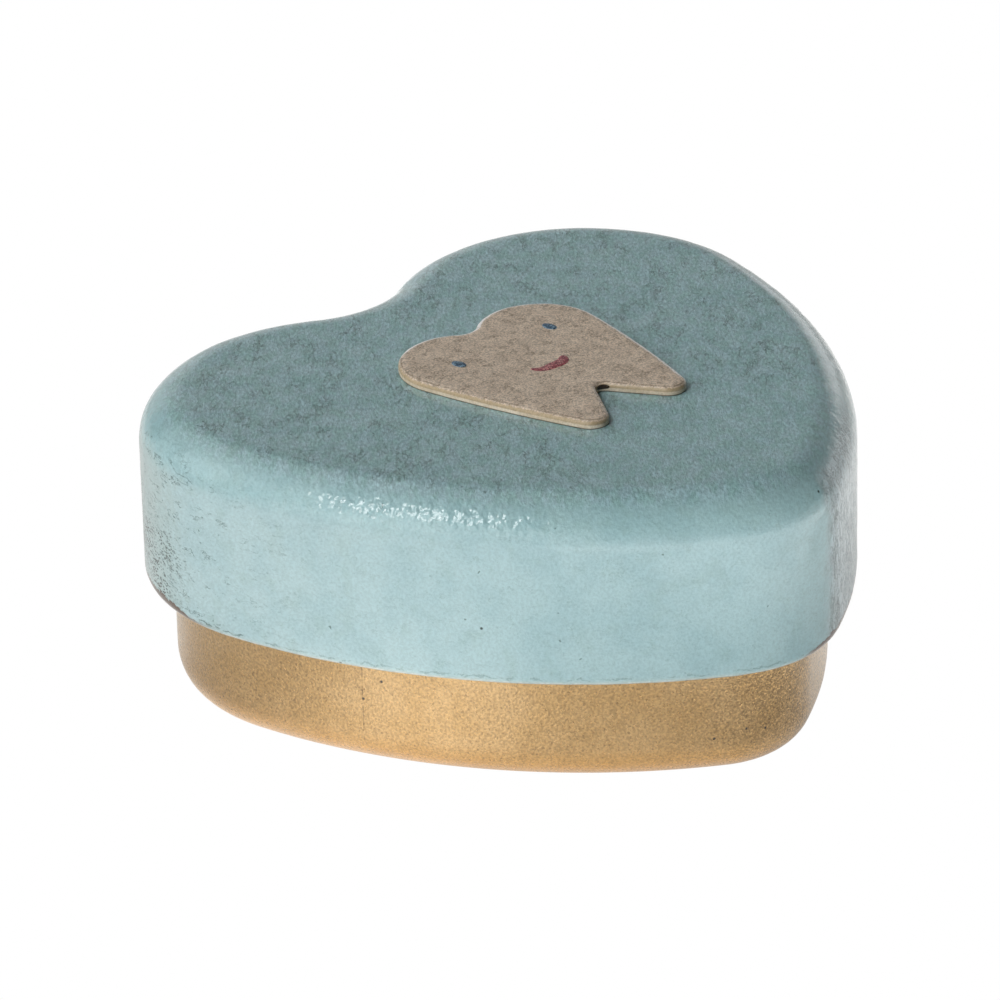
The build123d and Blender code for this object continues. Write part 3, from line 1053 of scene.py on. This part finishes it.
floor_finish, tree, place = new_material("white_sweep")
where = place["Object"]
off = add_node(tree, "VectorMath", where, operation="LENGTH")
sweep_glow = 0.0
for heading, begin, full, strength in far_glows:
    way = radians(heading)
    reach = add_node(tree, "VectorMath", where, (cos(way), sin(way), 0), operation="DOT_PRODUCT")
    glow = add_node(tree, "MapRange", reach, begin, full, 0.0, strength, **smooth)
    sweep_glow = add_node(tree, "Math", glow, sweep_glow, operation="ADD")
dying = add_node(tree, "MapRange", off, 80 * MM, 200 * MM, 1.0, 0.15, **smooth)
near = add_node(tree, "MapRange", off, 26 * MM, 35 * MM, near_glow, 0.0, **smooth)
sweep_glow = add_node(tree, "Math", sweep_glow, dying, near, operation="MULTIPLY_ADD")
for pool_place, pool_reach, strength in pools:
    pool = by_distance(tree, where, pool_place, pool_core, pool_reach, strength)
    sweep_glow = add_node(tree, "Math", sweep_glow, pool, operation="ADD")
lit = add_node(
    tree, "BsdfPrincipled", base_color=sweep_white, roughness=0.9, emission_color=sweep_white,
    emission_strength=sweep_glow,
)
blank = add_node(tree, "Emission", color=(1, 1, 1, 1), strength=1.0)
seen = add_node(tree, "LightPath").outputs["Is Camera Ray"]
both = add_node(tree, "MixShader", seen, lit, blank)
add_node(tree, "OutputMaterial", surface=both)
corner = np.array([(-1, -1, 0), (1, -1, 0), (1, 1, 0), (-1, 1, 0)]) * sweep_reach
floor_mesh = bpy.data.meshes.new("white_sweep")
floor_mesh.from_pydata(corner, [], [(0, 1, 2, 3)])
floor = bpy.data.objects.new("white_sweep", floor_mesh)
floor.data.materials.append(floor_finish)
bpy.context.collection.objects.link(floor)

# Studio light: a dark room with round soft screens, seen as plain white. A wide low screen stands
# on the left with two small lamps above it, and dimmer screens stand round the right and hang
# high at the back.
screens = [
    # azimuth, elevation and reach in degrees, and strength
    (-168, 8, 36, 2.3),
    (-172, 43, 12, 9.5),
    (178, 51, 9, 6.0),
    (0, 3, 16, 1.3),
    (26, 2, 18, 1.4),
    (60, 4, 26, 0.60),
    (45, 28, 28, 0.14),
    (120, 4, 26, 0.25),
    (135, 28, 28, 1.65),
    (90, 54, 32, 0.85),
    (150, 54, 32, 0.35),
]
world = bpy.data.worlds.new("studio")
bpy.context.scene.world = world
world.use_nodes = True
tree = world.node_tree
tree.nodes.clear()
direction = add_node(tree, "TexCoord").outputs["Generated"]
room_light = 0.0
for azimuth, elevation, reach, strength in screens:
    round_room, up = radians(azimuth), radians(elevation)
    way = (cos(round_room) * cos(up), sin(round_room) * cos(up), sin(up))
    near = add_node(tree, "VectorMath", direction, way, operation="DOT_PRODUCT")
    screen = add_node(tree, "MapRange", near, cos(radians(reach)), 1.0, 0.0, strength, **smooth)
    room_light = add_node(tree, "Math", screen, room_light, operation="ADD")
background = add_node(tree, "Background", color=(1, 1, 1, 1), strength=room_light)
plain = add_node(tree, "Background", color=(1, 1, 1, 1), strength=1.0)
seen = add_node(tree, "LightPath").outputs["Is Camera Ray"]
both = add_node(tree, "MixShader", seen, background, plain)
add_node(tree, "OutputWorld", surface=both)

# Camera: a long lens from the front left, a little above the box.
camera_azimuth = radians(-42.44)
camera_elevation = radians(25.506)
camera_roll = radians(-1.334)
camera_distance = 600 * MM
camera_target = Vector((1.256, 8.712, 11.851)) * MM
lens = 260.67
sensor = 36.0

camera_data = bpy.data.cameras.new("camera")
camera_data.sensor_width = sensor
camera_data.lens = lens
camera_data.clip_start = 0.01
camera_data.clip_end = 20.0
camera = bpy.data.objects.new("camera", camera_data)
back = Vector((
    sin(camera_azimuth) * cos(camera_elevation),
    -cos(camera_azimuth) * cos(camera_elevation),
    sin(camera_elevation),
))
camera.location = camera_target + back * camera_distance
turn = (-back).to_track_quat("-Z", "Y") @ Quaternion((0, 0, 1), camera_roll)
camera.rotation_euler = turn.to_euler()
bpy.context.collection.objects.link(camera)
bpy.context.scene.camera = camera
bpy.context.scene.view_settings.view_transform = "Standard"
